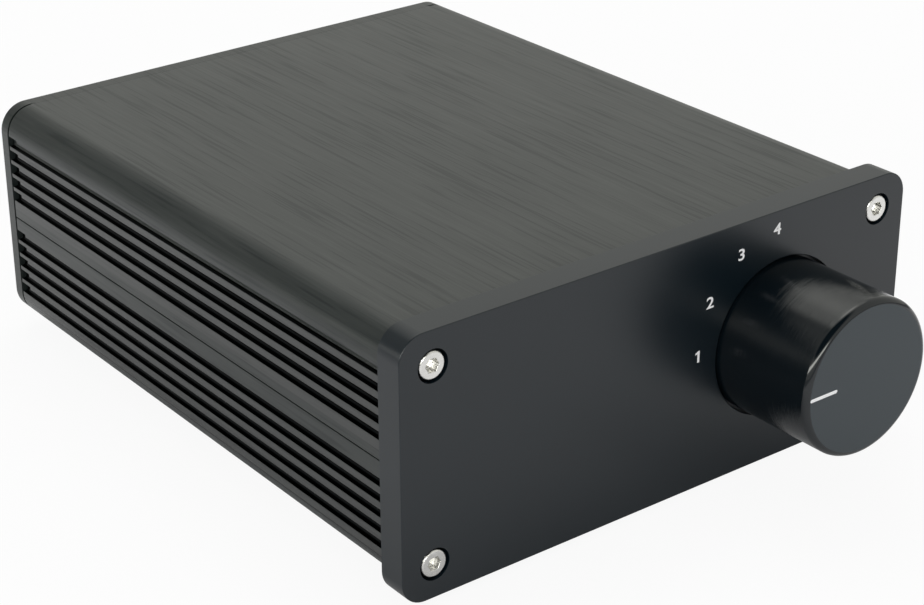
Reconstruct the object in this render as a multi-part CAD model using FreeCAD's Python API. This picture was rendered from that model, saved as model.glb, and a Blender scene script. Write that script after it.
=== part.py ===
import FreeCAD, Part
import math
import os
from FreeCAD import Vector

# Four-way audio source selector: a ribbed aluminium case made of two like half shells, a thick front
# plate with one large knob, and a rear plate with five pairs of phono jacks. Millimetres.
# X runs to the right seen from the front, Y runs from the front to the rear, Z is up.
# The origin is at the centre of the outline, on the surface that the feet stand on.

# How far a cutter reaches past the face that it cuts
overcut = 1.0

# Case, two halves of one extrusion
case_width = 97.0
case_length = 111.0
case_corner = 4.8
side_wall = 2.6
top_wall = 2.0
inner_corner = 1.0

# Ribs of the case's sides, counted from the seam
groove_first = 3.77
groove_pitch = 2.55
groove_width = 1.35
groove_depth = 0.9
groove_lip = 0.06
groove_root = 0.4
notch_length = 2.9
notch_rise = 0.5

# Seam between the halves: a tongue on one side, a rebate on the other
tongue_width = 1.2
tongue_height = 1.5
tongue_gap = 0.06
seam_bevel = 0.16
seam_drop = 0.2

# Ledges that hold the main board by its edges
ledge_reach = 1.6
ledge_thick = 0.9
board_gap = 0.1
spare_slot_drop = 5.2

# Front plate
plate_over_x = 1.0
plate_over_z = 1.5
plate_thick = 5.0
plate_corner = 4.1
plate_bevel = 0.1

# Rear plate
rear_thick = 2.8
rear_bevel = 0.1
rear_step = 0.45
rear_step_depth = 1.2

# Plate screws: socket heads in counterbores
screw_inset_x = 4.8
screw_inset_z = 4.05
screw_radius = 1.25
screw_length = 12.0
head_radius = 2.25
head_height = 2.5
head_sink = 0.12
head_gap = 0.35
head_round = 0.25
tip_bevel = 0.4
socket_width = 2.0
socket_depth = 1.3
hole_gap = 0.1
thread_gap = 0.02
boss_wall = 1.45
boss_slot = 0.9
boss_gap = 0.55

# Feet
foot_radius = 5.0
foot_height = 3.0
foot_inset_x = 13.0
foot_inset_y = 14.0
foot_round = 0.8

# Knob and its recess in the front plate
knob_inset = 25.3
knob_radius = 12.8
knob_reach = 18.5
knob_edge_round = 1.1
knob_base_bevel = 0.4
recess_gap = 0.45
recess_depth = 2.0
knob_floor_gap = 0.6
cavity_radius = 8.4
cavity_roof = 3.0
bore_gap = 0.02
mark_inner = 6.3
mark_outer = 11.9
mark_width = 0.6
mark_depth = 0.3

# Set screw of the knob
set_radius = 1.5
set_length = 6.0
set_socket = 1.5
set_from_face = 10.5

# Switch: shaft and bush
shaft_radius = 3.0
shaft_front_depth = 4.4
shaft_flat = 1.5
flat_length = 9.5
end_bevel = 0.4
run_gap = 0.04
bush_radius = 4.5
bush_flange_radius = 6.0
bush_flange = 0.8
nut_width = 12.0
nut_height = 2.0
washer_radius = 7.0
washer_thick = 0.5
thread_stand = 0.5
clip_groove_radius = 2.2
clip_radius = 4.6
clip_thick = 0.6
clip_gap = 0.1
clip_mouth = 3.4

# Switch: stack of square plates
stack_width = 22.0
stack_corner = 2.0
frame_thick = 1.2
lug_radius = 1.2
lug_length = 1.6
lug_offset = 8.6
index_thick = 5.0
stop_thick = 1.2
wafer_thick = 1.2
front_spacing = 4.0
wafer_spacing = 6.0
back_spacing = 3.0
tie_inset = 1.9
tie_radius = 1.0
tie_head_radius = 1.9
tie_head_height = 1.4
spacer_radius = 1.8

# Switch: index
notch_count = 12
ball_radius = 1.25
crest_radius = 8.6
crest_gap = 0.1
notch_radius = 1.35
notch_centre = 7.8
hub_radius = 6.8
spring_radius = 1.15
spring_wire = 0.35
ball_hole_gap = 0.05
hub_gap = 0.1
arm_radius = 8.3
pocket_radius = 8.7
arm_half_angle = 9.0
stop_angle_gap = 0.6
positions = 4
arm_rest_angle = 240.0

# Switch: wafers and rotors
rotor_radius = 8.4
rotor_thick = 1.5
rotor_hub_radius = 5.0
rotor_run_gap = 0.1
flat_thick = 3.6
pivot_radius = 2.0
pivot_stand = 0.6
common_inner = 5.6
common_outer = 6.5
pad_inner = 7.2
pad_outer = 8.8
pad_half_angle = 6.0
pad_thick = 0.1
wiper_thick = 0.2
wiper_width = 1.6
wiper_gap = 0.05
pin_radius = 0.3
pins_per_wafer = 10
pin_room = 0.25
pin_gap = 0.03
pin_stand = 1.2
pin_overlap = 1.6

# Main board
board_thick = 1.6
board_side_gap = 0.2
board_end_gap = 0.5

# Phono jacks
jack_columns = 5
jack_pitch = 16.0
jack_spread = 15.0
jack_shift_x = 0.0
block_width = 10.4
block_height = 23.2
block_depth = 13.0
block_corner = 0.6
barrel_radius = 4.15
barrel_wall = 0.65
barrel_reach = 8.5
barrel_root_radius = 3.9
barrel_neck = 0.3
barrel_bevel = 0.35
barrel_hole_gap = 0.15
insulator_sink = 1.0
contact_wall = 0.35
contact_bore = 1.65
contact_length = 6.3
contact_sink = 1.5
jack_pin_radius = 0.4
jack_pin_spread = 7.0
jack_screw_radius = 1.3
jack_screw_length = 10.0
jack_head_radius = 2.35
jack_head_height = 1.7
jack_head_slope = 0.6
cross_width = 0.6
cross_length = 2.6
cross_depth = 0.9

# The case is as high as the switch, the main board under it and the screw bosses need
boss_radius = screw_radius + boss_wall
screw_x = case_width / 2 - screw_inset_x
screw_z = stack_width / 2 + board_thick + boss_gap + boss_radius
case_height = 2 * (screw_z + screw_inset_z)
plate_width = case_width + 2 * plate_over_x
plate_height = case_height + 2 * plate_over_z

# As many grooves as the flat part of each side has room for
groove_room = case_height / 2 - case_corner - groove_lip - groove_width / 2
groove_count = int((groove_room - groove_first) / groove_pitch) + 1

# The pins of a wafer stand between its two tie screws
pin_pitch = (stack_width - 2 * (tie_inset + spacer_radius + pin_radius + pin_room)) / (pins_per_wafer - 1)

# Stations along Y
rear_reach = plate_thick + case_length + rear_thick + barrel_reach
plate_front_y = -(rear_reach - knob_reach) / 2
plate_back_y = plate_front_y + plate_thick
case_end_y = plate_back_y + case_length
rear_face_y = case_end_y + rear_thick
recess_y = plate_front_y + recess_depth
knob_base_y = recess_y - knob_floor_gap
knob_front_y = plate_front_y - knob_reach
cavity_roof_y = plate_front_y - cavity_roof

# Heights
axis_z = foot_height + case_height / 2
knob_x = case_width / 2 - knob_inset
board_top_z = axis_z - stack_width / 2
board_bottom_z = board_top_z - board_thick

# Stations of the switch, front to rear
bush_end_y = recess_y - washer_thick - nut_height - thread_stand
clip_rear_y = bush_end_y - clip_gap
clip_front_y = clip_rear_y - clip_thick
index_y = plate_back_y + frame_thick
stop_y = index_y + index_thick
stop_end_y = stop_y + stop_thick
wafer_1_y = stop_end_y + front_spacing
wafer_1_end_y = wafer_1_y + wafer_thick
wafer_2_y = wafer_1_end_y + wafer_spacing
wafer_2_end_y = wafer_2_y + wafer_thick
back_plate_y = wafer_2_end_y + back_spacing
back_plate_end_y = back_plate_y + frame_thick
shaft_front_y = knob_front_y + shaft_front_depth
shaft_end_y = back_plate_end_y + pivot_stand
hub_y = index_y + bush_flange + hub_gap
hub_end_y = stop_end_y - hub_gap
ball_y = (hub_y + stop_y) / 2
ball_centre = crest_radius - crest_gap - ball_radius

# Stations of the jacks
block_y = case_end_y - block_depth
barrel_end_y = rear_face_y + barrel_reach
insulator_end_y = barrel_end_y - insulator_sink
contact_end_y = insulator_end_y - contact_sink
contact_y = contact_end_y - contact_length
jack_columns_x = [jack_shift_x + (n - (jack_columns - 1) / 2) * jack_pitch for n in range(jack_columns)]
jack_rows_z = [axis_z - jack_spread / 2, axis_z + jack_spread / 2]

plate_screw_places = [(sx * screw_x, sz * screw_z) for sx in (-1, 1) for sz in (-1, 1)]
tie_places = [(s * (stack_width / 2 - tie_inset), s * (stack_width / 2 - tie_inset)) for s in (-1, 1)]

FORWARD = Vector(0, 1, 0)


def box(x0, x1, y0, y1, z0, z1):
    return Part.makeBox(x1 - x0, y1 - y0, z1 - z0, Vector(x0, y0, z0))


def rod(radius, x, z, y0, y1):
    """A round bar along Y."""
    return Part.makeCylinder(radius, y1 - y0, Vector(x, y0, z), FORWARD)


def tube(outer, inner, x, z, y0, y1):
    """A round tube along Y."""
    return rod(outer, x, z, y0, y1).cut(rod(inner, x, z, y0, y1))


def post(radius, x, y, z0, z1):
    """A round bar along Z."""
    return Part.makeCylinder(radius, z1 - z0, Vector(x, y, z0), Vector(0, 0, 1))


def prism(points, y0, y1):
    """A closed outline of (x, z) points, extruded along Y."""
    corners = [Vector(x, y0, z) for x, z in points]
    wire = Part.makePolygon(corners + corners[:1])
    return Part.Face(wire).extrude(Vector(0, y1 - y0, 0))


def rounded_outline(width, height, corner, y, x=0.0, z=0.0):
    """A rectangle with round corners, centred at (x, z), as a wire at the given y."""
    half_w = width / 2
    half_h = height / 2
    edges = []
    start = None
    previous = None
    for sx, sz, first in ((1, 1, 0), (-1, 1, 90), (-1, -1, 180), (1, -1, 270)):
        cx = x + sx * (half_w - corner)
        cz = z + sz * (half_h - corner)
        arc = [Vector(cx + corner * math.cos(math.radians(first + a)), y,
                      cz + corner * math.sin(math.radians(first + a))) for a in (0, 45, 90)]
        if previous is not None:
            edges.append(Part.LineSegment(previous, arc[0]).toShape())
        edges.append(Part.Arc(arc[0], arc[1], arc[2]).toShape())
        start = start or arc[0]
        previous = arc[2]
    edges.append(Part.LineSegment(previous, start).toShape())
    return Part.Wire(edges)


def rounded_plate(width, height, corner, y0, y1, x=0.0, z=0.0):
    face = Part.Face(rounded_outline(width, height, corner, y0, x, z))
    return face.extrude(Vector(0, y1 - y0, 0))


def revolve(profile, x, z):
    """Turns a closed profile of (radius, y) points about the line along Y through (x, z)."""
    points = [Vector(x + r, y, z) for r, y in profile]
    face = Part.Face(Part.makePolygon(points + points[:1]))
    return face.revolve(Vector(x, 0, z), FORWARD, 360)


def hexagon(width, x, z, y0, y1):
    """A hexagonal prism along Y, its width measured across the flats."""
    reach = width / 2 / math.cos(math.radians(30))
    points = [(x + reach * math.cos(math.radians(60 * n)), z + reach * math.sin(math.radians(60 * n)))
              for n in range(6)]
    return prism(points, y0, y1)


def sector(radius, x, z, first, last, y0, y1):
    """A slice of a disc between two angles, measured from +X towards +Z."""
    centre = Vector(x, y0, z)
    rim = [Vector(x + radius * math.cos(math.radians(a)), y0, z + radius * math.sin(math.radians(a)))
           for a in (first, (first + last) / 2, last)]
    edges = [Part.LineSegment(centre, rim[0]).toShape(), Part.Arc(rim[0], rim[1], rim[2]).toShape(),
             Part.LineSegment(rim[2], centre).toShape()]
    return Part.Face(Part.Wire(edges)).extrude(Vector(0, y1 - y0, 0))


def turned(shape, angle, x, z):
    """A copy turned about the line along Y through (x, z); positive takes +X towards +Z."""
    copy = shape.copy()
    copy.rotate(Vector(x, 0, z), Vector(0, -1, 0), angle)
    return copy


def cut_all(shape, cutters):
    return shape.cut(Part.makeCompound(cutters))


def save(name, shapes):
    """Writes one node: a single solid, or a group of separate like solids."""
    solids = []
    for shape in shapes:
        solids.extend(shape.Solids)
    target = solids[0] if len(solids) == 1 else Part.makeCompound(solids)
    target.exportStep("parts/" + name + ".step")
    print(name, len(solids), "solids,", round(sum(s.Volume for s in solids), 1), "mm3")


def groove_cutter(side, height):
    """One groove of a side wall. The ribs' lips round its mouth, and its two inner corners are round."""
    half = groove_width / 2
    mid_arc = 1 - math.cos(math.radians(45))

    def point(depth, rise):
        return Vector(side * (case_width / 2 - depth), plate_back_y, height + rise)

    edges = []
    for way in (1, -1):
        mouth = point(0, way * (half + groove_lip))
        under_lip = point(groove_lip, way * half)
        lip_middle = point(groove_lip * mid_arc, way * (half + groove_lip * mid_arc))
        wall_end = point(groove_depth - groove_root, way * half)
        floor_end = point(groove_depth, way * (half - groove_root))
        root_middle = point(groove_depth - groove_root * mid_arc, way * (half - groove_root * mid_arc))
        edges += [Part.LineSegment(point(-overcut, way * (half + groove_lip)), mouth).toShape(),
                  Part.Arc(mouth, lip_middle, under_lip).toShape(),
                  Part.LineSegment(under_lip, wall_end).toShape(),
                  Part.Arc(wall_end, root_middle, floor_end).toShape()]
    edges.append(Part.LineSegment(point(groove_depth, half - groove_root),
                                  point(groove_depth, groove_root - half)).toShape())
    edges.append(Part.LineSegment(point(-overcut, half + groove_lip),
                                  point(-overcut, -half - groove_lip)).toShape())
    outline = Part.Wire(Part.__sortEdges__(edges))
    return Part.Face(outline).extrude(Vector(0, case_length, 0))


def notch_cutter(side, height):
    """The wider rear end of one groove: it reaches up on the left side and down on the right."""
    face_x = case_width / 2
    x0, x1 = sorted((side * (face_x - groove_depth), side * (face_x + overcut)))
    z0, z1 = sorted((height, height - side * (groove_width / 2 + notch_rise)))
    return box(x0, x1, case_end_y - notch_length, case_end_y + overcut, z0, z1)


def upper_shell():
    """The upper half of the case, made about the case's centre line."""
    half_w = case_width / 2
    half_h = case_height / 2
    inner_w = half_w - side_wall
    y0 = plate_back_y
    y1 = case_end_y
    shell = rounded_plate(case_width, case_height, case_corner, y0, y1)
    cavity = rounded_plate(2 * inner_w, case_height - 2 * top_wall, inner_corner, y0, y1)
    shell = shell.cut(cavity)
    # the seam lies a little below mid height on the left, and as much above it on the right
    shell = shell.cut(box(-half_w, 0, y0, y1, -half_h, -seam_drop))
    shell = shell.cut(box(0, half_w, y0, y1, -half_h, seam_drop))
    # screw bosses in the corners, open along a slot
    added = []
    removed = []
    for x, z in plate_screw_places:
        if z > 0:
            boss = rod(boss_radius, x, z, y0, y1)
            added.append(boss.common(box(-half_w, half_w, y0, y1, 0, half_h - top_wall / 2)))
            removed.append(rod(screw_radius + thread_gap, x, z, y0, y1))
            inward = -1 if x > 0 else 1
            slot = box(0, boss_radius + overcut, y0, y1, -boss_slot / 2, boss_slot / 2)
            slot.rotate(Vector(0, 0, 0), Vector(0, 1, 0), 90 - inward * 45)
            slot.translate(Vector(x, 0, z))
            removed.append(slot)
    # two card slots on each side, each between two ledges
    board_level = stack_width / 2 + board_thick / 2
    gap = board_thick / 2 + board_gap
    root = inner_w + (side_wall - groove_depth) / 2
    for level in (board_level, board_level - spare_slot_drop):
        for low in (level - gap - ledge_thick, level + gap):
            for side in (-1, 1):
                x0, x1 = sorted((side * (inner_w - ledge_reach), side * root))
                added.append(box(x0, x1, y0, y1, low, low + ledge_thick))
    # the outermost ledge runs into the screw boss beside it
    for side in (-1, 1):
        x0, x1 = sorted((side * screw_x, side * root))
        added.append(box(x0, x1, y0, y1, board_level + gap, screw_z))
    shell = shell.fuse(added)
    shell = cut_all(shell, removed)
    # ribs on both sides
    heights = [groove_first + n * groove_pitch for n in range(groove_count)]
    for side in (-1, 1):
        shell = cut_all(shell, [groove_cutter(side, h) for h in heights])
        shell = cut_all(shell, [notch_cutter(side, h) for h in heights])
    # seam: tongue on the left, rebate on the right, and a fine bevel along both outer edges
    tongue = box(-inner_w - tongue_width, -inner_w, y0, y1, -tongue_height, tongue_height)
    rebate = box(inner_w - overcut, inner_w + tongue_width + tongue_gap, y0, y1,
                 -overcut, tongue_height + tongue_gap)
    bevels = [prism([(side * (half_w + overcut), side * seam_drop + seam_bevel + overcut),
                     (side * (half_w + overcut), side * seam_drop - overcut),
                     (side * (half_w - seam_bevel - overcut), side * seam_drop - overcut)], y0, y1)
              for side in (-1, 1)]
    shell = shell.fuse(tongue)
    return cut_all(shell, [rebate] + bevels).removeSplitter()


def case_shells():
    """Both halves are one extrusion: the lower one is the upper one turned over."""
    upper = upper_shell()
    lower = turned(upper, 180, 0, 0)
    for shape in (upper, lower):
        shape.translate(Vector(0, 0, axis_z))
    save("top_shell", [upper])
    save("bottom_shell", [lower])


def socket_screw(x, z, head_y, direction, length):
    """A socket head screw whose head ends at head_y; direction is the way the shank points along Y."""
    under_y = head_y + direction * head_height
    tip_y = under_y + direction * length
    profile = [(0, head_y), (head_radius - head_round, head_y),
               (head_radius, head_y + direction * head_round), (head_radius, under_y),
               (screw_radius, under_y), (screw_radius, tip_y - direction * tip_bevel),
               (screw_radius - tip_bevel, tip_y), (0, tip_y)]
    screw = revolve(profile, x, z)
    y0, y1 = sorted((head_y, head_y + direction * socket_depth))
    return screw.cut(hexagon(socket_width, x, z, y0, y1))


def counterbored(plate, face_y, direction, thick):
    """Cuts the four screw holes and their counterbores into a plate, from its outer face inwards."""
    cutters = []
    for x, z in plate_screw_places:
        z = axis_z + z
        y0, y1 = sorted((face_y, face_y + direction * thick))
        cutters.append(rod(screw_radius + hole_gap, x, z, y0, y1))
        y0, y1 = sorted((face_y, face_y + direction * (head_sink + head_height)))
        cutters.append(rod(head_radius + head_gap, x, z, y0, y1))
    return cut_all(plate, cutters)


def bevelled_plate(width, height, corner, bevel, outer_y, inner_y):
    """A plate with rounded corners and a fine bevel round its outer face."""
    step = bevel if inner_y > outer_y else -bevel
    small = rounded_outline(width - 2 * bevel, height - 2 * bevel, corner - bevel, outer_y, 0, axis_z)
    large = rounded_outline(width, height, corner, outer_y + step, 0, axis_z)
    rim = Part.makeLoft([small, large], True, True)
    y0, y1 = sorted((outer_y + step, inner_y))
    return rim.fuse(rounded_plate(width, height, corner, y0, y1, 0, axis_z)).removeSplitter()


def front_panel():
    plate = bevelled_plate(plate_width, plate_height, plate_corner, plate_bevel,
                           plate_front_y, plate_back_y)
    plate = counterbored(plate, plate_front_y, 1, plate_thick)
    recess = knob_radius + recess_gap
    profile = [(0, plate_front_y - overcut), (recess + plate_bevel + overcut, plate_front_y - overcut),
               (recess, plate_front_y + plate_bevel), (recess, recess_y), (0, recess_y)]
    cutter = revolve(profile, knob_x, axis_z)
    bush_hole = rod(bush_radius + hole_gap, knob_x, axis_z, recess_y, plate_back_y)
    lug_hole = rod(lug_radius + hole_gap, knob_x - lug_offset, axis_z,
                   plate_back_y - lug_length - hole_gap, plate_back_y)
    return cut_all(plate, [cutter, bush_hole, lug_hole])


def rear_panel():
    """The rear plate, with a step down each side of its inner face: a fine gap that closes over the top."""
    plate = bevelled_plate(case_width, case_height, case_corner, rear_bevel, rear_face_y, case_end_y)
    step_end_y = case_end_y + rear_step
    land = rounded_plate(case_width - 2 * rear_step_depth, case_height, case_corner, case_end_y,
                         step_end_y, 0, axis_z)
    slab = box(-case_width, case_width, case_end_y, step_end_y, -case_height, 2 * case_height)
    plate = plate.cut(slab.cut(land))
    holes = []
    for x, z in plate_screw_places:
        holes.append(rod(screw_radius + hole_gap, x, axis_z + z, case_end_y, rear_face_y))
    for x in jack_columns_x:
        holes.append(rod(jack_screw_radius + hole_gap, x, axis_z, case_end_y, rear_face_y))
        for z in jack_rows_z:
            holes.append(rod(barrel_radius + barrel_hole_gap, x, z, case_end_y, rear_face_y))
    return cut_all(plate, holes)


def feet():
    """Four turned rubber feet, stuck to the underside of the case."""
    shapes = []
    points = []
    for a in range(0, 91, 30):
        r = foot_radius - foot_round + foot_round * math.cos(math.radians(a))
        z = foot_round - foot_round * math.sin(math.radians(a))
        points.append(Vector(r, 0, z))
    outline = [Vector(0, 0, foot_height), Vector(foot_radius, 0, foot_height)] + points + [Vector(0, 0, 0)]
    foot = Part.Face(Part.makePolygon(outline + outline[:1])).revolve(Vector(0, 0, 0), Vector(0, 0, 1), 360)
    for x in (-case_width / 2 + foot_inset_x, case_width / 2 - foot_inset_x):
        for y in (plate_back_y + foot_inset_y, case_end_y - foot_inset_y):
            copy = foot.copy()
            copy.translate(Vector(x, y, 0))
            shapes.append(copy)
    return shapes


def knob():
    """A turned knob: solid front, a cavity at the base that clears the nut, and a bore for the shaft."""
    bore_end_y = shaft_front_y - bore_gap
    profile = [(0, knob_front_y), (knob_radius, knob_front_y),
               (knob_radius, knob_base_y - knob_base_bevel), (knob_radius - knob_base_bevel, knob_base_y),
               (cavity_radius, knob_base_y), (cavity_radius, cavity_roof_y),
               (shaft_radius + bore_gap, cavity_roof_y), (shaft_radius + bore_gap, bore_end_y),
               (0, bore_end_y)]
    body = revolve(profile, knob_x, axis_z)
    rim = [edge for edge in body.Edges if edge.BoundBox.YMax < knob_front_y + knob_edge_round]
    body = body.makeFillet(knob_edge_round, rim)
    screw_at = Vector(knob_x, knob_front_y + set_from_face, axis_z)
    screw_hole = Part.makeCylinder(set_radius + bore_gap, knob_radius, screw_at, Vector(1, 0, 0))
    mark = box(knob_x - mark_outer, knob_x - mark_inner, knob_front_y, knob_front_y + mark_depth,
               axis_z - mark_width / 2, axis_z + mark_width / 2)
    return body.cut(screw_hole).cut(mark)


def set_screw():
    """A headless screw that presses on the flat of the shaft."""
    start = knob_x + shaft_radius - shaft_flat + bore_gap
    at = Vector(start, knob_front_y + set_from_face, axis_z)
    screw = Part.makeCylinder(set_radius, set_length, at, Vector(1, 0, 0))
    socket = hexagon(set_socket, 0, 0, 0, set_socket)
    socket.rotate(Vector(0, 0, 0), Vector(0, 0, 1), -90)
    socket.translate(at + Vector(set_length - set_socket, 0, 0))
    return screw.cut(socket)


def switch_shaft():
    """Round at the front with a flat for the set screw, two flats behind for the rotors, and a pivot."""
    groove_0_y = clip_front_y - clip_gap / 2
    groove_1_y = clip_rear_y + clip_gap / 2
    shoulder_y = back_plate_y - rotor_run_gap
    profile = [(0, shaft_front_y), (shaft_radius - end_bevel, shaft_front_y),
               (shaft_radius, shaft_front_y + end_bevel), (shaft_radius, groove_0_y),
               (clip_groove_radius, groove_0_y), (clip_groove_radius, groove_1_y),
               (shaft_radius, groove_1_y), (shaft_radius, shoulder_y), (pivot_radius, shoulder_y),
               (pivot_radius, shaft_end_y), (0, shaft_end_y)]
    body = revolve(profile, knob_x, axis_z)
    flat_x = knob_x + shaft_radius - shaft_flat
    cutters = [box(flat_x, flat_x + shaft_radius, shaft_front_y, shaft_front_y + flat_length,
                   axis_z - shaft_radius, axis_z + shaft_radius)]
    for side in (-1, 1):
        z0, z1 = sorted((axis_z + side * flat_thick / 2, axis_z + side * (shaft_radius + overcut)))
        cutters.append(box(knob_x - shaft_radius, knob_x + shaft_radius, hub_end_y, back_plate_y, z0, z1))
    return cut_all(body, cutters)


def shaft_clip():
    """A retaining ring with an open mouth, snapped into the shaft's groove."""
    ring = tube(clip_radius, clip_groove_radius + bore_gap, knob_x, axis_z, clip_front_y, clip_rear_y)
    half = clip_mouth / 2
    reach = clip_radius + overcut
    mouth = box(knob_x - half, knob_x + half, clip_front_y, clip_rear_y, axis_z - reach, axis_z)
    return ring.cut(mouth)


def switch_bushing():
    inner = shaft_radius + run_gap
    profile = [(inner, bush_end_y), (bush_radius - end_bevel, bush_end_y),
               (bush_radius, bush_end_y + end_bevel),
               (bush_radius, index_y), (bush_flange_radius, index_y),
               (bush_flange_radius, index_y + bush_flange), (inner, index_y + bush_flange)]
    return revolve(profile, knob_x, axis_z)


def square_plate(y0, y1):
    """One plate of the switch's stack, with its two tie screw holes."""
    plate = rounded_plate(stack_width, stack_width, stack_corner, y0, y1, knob_x, axis_z)
    holes = [rod(tie_radius + bore_gap, knob_x + x, axis_z + z, y0, y1) for x, z in tie_places]
    return cut_all(plate, holes)


def switch_plate():
    plate = square_plate(plate_back_y, index_y)
    plate = plate.cut(rod(bush_radius + bore_gap, knob_x, axis_z, plate_back_y, index_y))
    lug = rod(lug_radius, knob_x - lug_offset, axis_z, plate_back_y - lug_length, plate_back_y)
    return plate.fuse(lug).removeSplitter()


def index_ring():
    """The notched ring: twelve hollows, 30 degrees apart, that the balls drop into."""
    ring = square_plate(index_y, stop_y)
    cutters = [rod(crest_radius, knob_x, axis_z, index_y, stop_y)]
    for n in range(notch_count):
        angle = math.radians(360 / notch_count * n)
        x = knob_x + notch_centre * math.cos(angle)
        z = axis_z + notch_centre * math.sin(angle)
        cutters.append(rod(notch_radius, x, z, index_y, stop_y))
    opening = cutters[0].fuse(cutters[1:])
    return ring.cut(opening)


def stop_plate():
    """The pocket in this plate lets the rotor's arm swing over four positions and no further."""
    step = 360 / notch_count
    travel = step * (positions - 1)
    margin = arm_half_angle + stop_angle_gap
    plate = square_plate(stop_y, stop_end_y)
    centre = rod(hub_radius + run_gap * 2, knob_x, axis_z, stop_y, stop_end_y)
    first = arm_rest_angle - travel - margin
    pocket = sector(pocket_radius, knob_x, axis_z, first, arm_rest_angle + margin, stop_y, stop_end_y)
    return plate.cut(centre.fuse(pocket))


def index_rotor():
    """The hub that carries the two balls and, at its rear, the stop arm."""
    hub = rod(hub_radius, knob_x, axis_z, hub_y, hub_end_y)
    first = arm_rest_angle - arm_half_angle
    last = arm_rest_angle + arm_half_angle
    arm = sector(arm_radius, knob_x, axis_z, first, last, stop_y + hub_gap, hub_end_y)
    hub = hub.fuse(arm)
    bore = rod(shaft_radius + bore_gap, knob_x, axis_z, hub_y, hub_end_y)
    reach = hub_radius + overcut
    hole = post(ball_radius + ball_hole_gap, knob_x, ball_y, axis_z - reach, axis_z + reach)
    return cut_all(hub, [bore, hole])


def index_balls():
    return [Part.makeSphere(ball_radius, Vector(knob_x, ball_y, axis_z + s * ball_centre)) for s in (-1, 1)]


def index_springs():
    """Short sleeves that stand for the two coil springs between the shaft and the balls."""
    springs = []
    start = shaft_radius + bore_gap
    end = ball_centre
    inner = spring_radius - spring_wire
    for side in (-1, 1):
        z0, z1 = sorted((axis_z + side * start, axis_z + side * end))
        sleeve = post(spring_radius, knob_x, ball_y, z0, z1).cut(post(inner, knob_x, ball_y, z0, z1))
        sleeve = sleeve.cut(rod(shaft_radius + bore_gap, knob_x, axis_z, hub_y, hub_end_y))
        ball = Part.makeSphere(ball_radius + bore_gap, Vector(knob_x, ball_y, axis_z + side * ball_centre))
        springs.append(sleeve.cut(ball))
    return springs


def pin_places(wafer_end_y):
    first = -(pins_per_wafer - 1) / 2
    return [(knob_x + (first + n) * pin_pitch, wafer_end_y + pin_radius) for n in range(pins_per_wafer)]


def wafer(y0, y1):
    plate = square_plate(y0, y1)
    return plate.cut(rod(rotor_hub_radius + rotor_run_gap, knob_x, axis_z, y0, y1))


def ring_slice(inner, outer, first, last, y0, y1):
    piece = sector(outer, knob_x, axis_z, first, last, y0, y1)
    return piece.cut(rod(inner, knob_x, axis_z, y0, y1))


def wafer_contacts():
    """On each wafer: two poles, each a common arc and four pads that lie 30 degrees apart."""
    step = 360 / notch_count
    shapes = []
    for face_y in (wafer_1_y, wafer_2_y):
        y0 = face_y - pad_thick
        for rest in (180.0, 360.0):
            last = rest + pad_half_angle
            first = rest - step * (positions - 1) - pad_half_angle
            shapes.append(ring_slice(common_inner, common_outer, first, last, y0, face_y))
            for n in range(positions):
                low = rest - step * n - pad_half_angle
                high = low + 2 * pad_half_angle
                shapes.append(ring_slice(pad_inner, pad_outer, low, high, y0, face_y))
    return shapes


def rotor_face_y(face_y):
    return face_y - pad_thick - wiper_gap - wiper_thick


def rotor(face_y, end_y):
    """A disc in front of the wafer, with a hub through it, on the two flats of the shaft."""
    disc_end_y = rotor_face_y(face_y)
    disc_y = disc_end_y - rotor_thick
    disc = rod(rotor_radius, knob_x, axis_z, disc_y, disc_end_y)
    hub = rod(rotor_hub_radius, knob_x, axis_z, disc_end_y, end_y)
    body = disc.fuse(hub)
    bore = rod(shaft_radius + bore_gap, knob_x, axis_z, disc_y, end_y)
    half = flat_thick / 2 + bore_gap
    reach = shaft_radius + overcut
    flats = box(knob_x - reach, knob_x + reach, disc_y, end_y, axis_z - half, axis_z + half)
    return body.cut(bore.common(flats))


def wipers():
    """Spring blades on the rotors, each bridging a common arc and one pad."""
    shapes = []
    half = wiper_width / 2
    for face_y in (wafer_1_y, wafer_2_y):
        y0 = rotor_face_y(face_y)
        for side in (-1, 1):
            x0, x1 = sorted((knob_x + side * common_inner, knob_x + side * rotor_radius))
            shapes.append(box(x0, x1, y0, y0 + wiper_thick, axis_z - half, axis_z + half))
    return shapes


def wafer_pins():
    shapes = []
    for end_y in (wafer_1_end_y, wafer_2_end_y):
        for x, y in pin_places(end_y):
            shapes.append(post(pin_radius, x, y, board_bottom_z - pin_stand, board_top_z + pin_overlap))
    return shapes


def switch_spacers():
    gaps = ((stop_end_y, wafer_1_y), (wafer_1_end_y, wafer_2_y), (wafer_2_end_y, back_plate_y))
    shapes = []
    for y0, y1 in gaps:
        for x, z in tie_places:
            shapes.append(tube(spacer_radius, tie_radius + bore_gap, knob_x + x, axis_z + z, y0, y1))
    return shapes


def switch_back_plate():
    plate = square_plate(back_plate_y, back_plate_end_y)
    return plate.cut(rod(pivot_radius + run_gap, knob_x, axis_z, back_plate_y, back_plate_end_y))


def tie_screws():
    shapes = []
    head_y = back_plate_end_y
    for x, z in tie_places:
        screw = rod(tie_radius, knob_x + x, axis_z + z, plate_back_y, head_y)
        head = rod(tie_head_radius, knob_x + x, axis_z + z, head_y, head_y + tie_head_height)
        slot = box(knob_x + x - tie_head_radius, knob_x + x + tie_head_radius, head_y + tie_head_height / 2,
                   head_y + tie_head_height, axis_z + z - cross_width / 2, axis_z + z + cross_width / 2)
        shapes.append(screw.fuse(head).cut(slot).removeSplitter())
    return shapes


def switch_washer():
    return tube(washer_radius, bush_radius + hole_gap, knob_x, axis_z, recess_y - washer_thick, recess_y)


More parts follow.
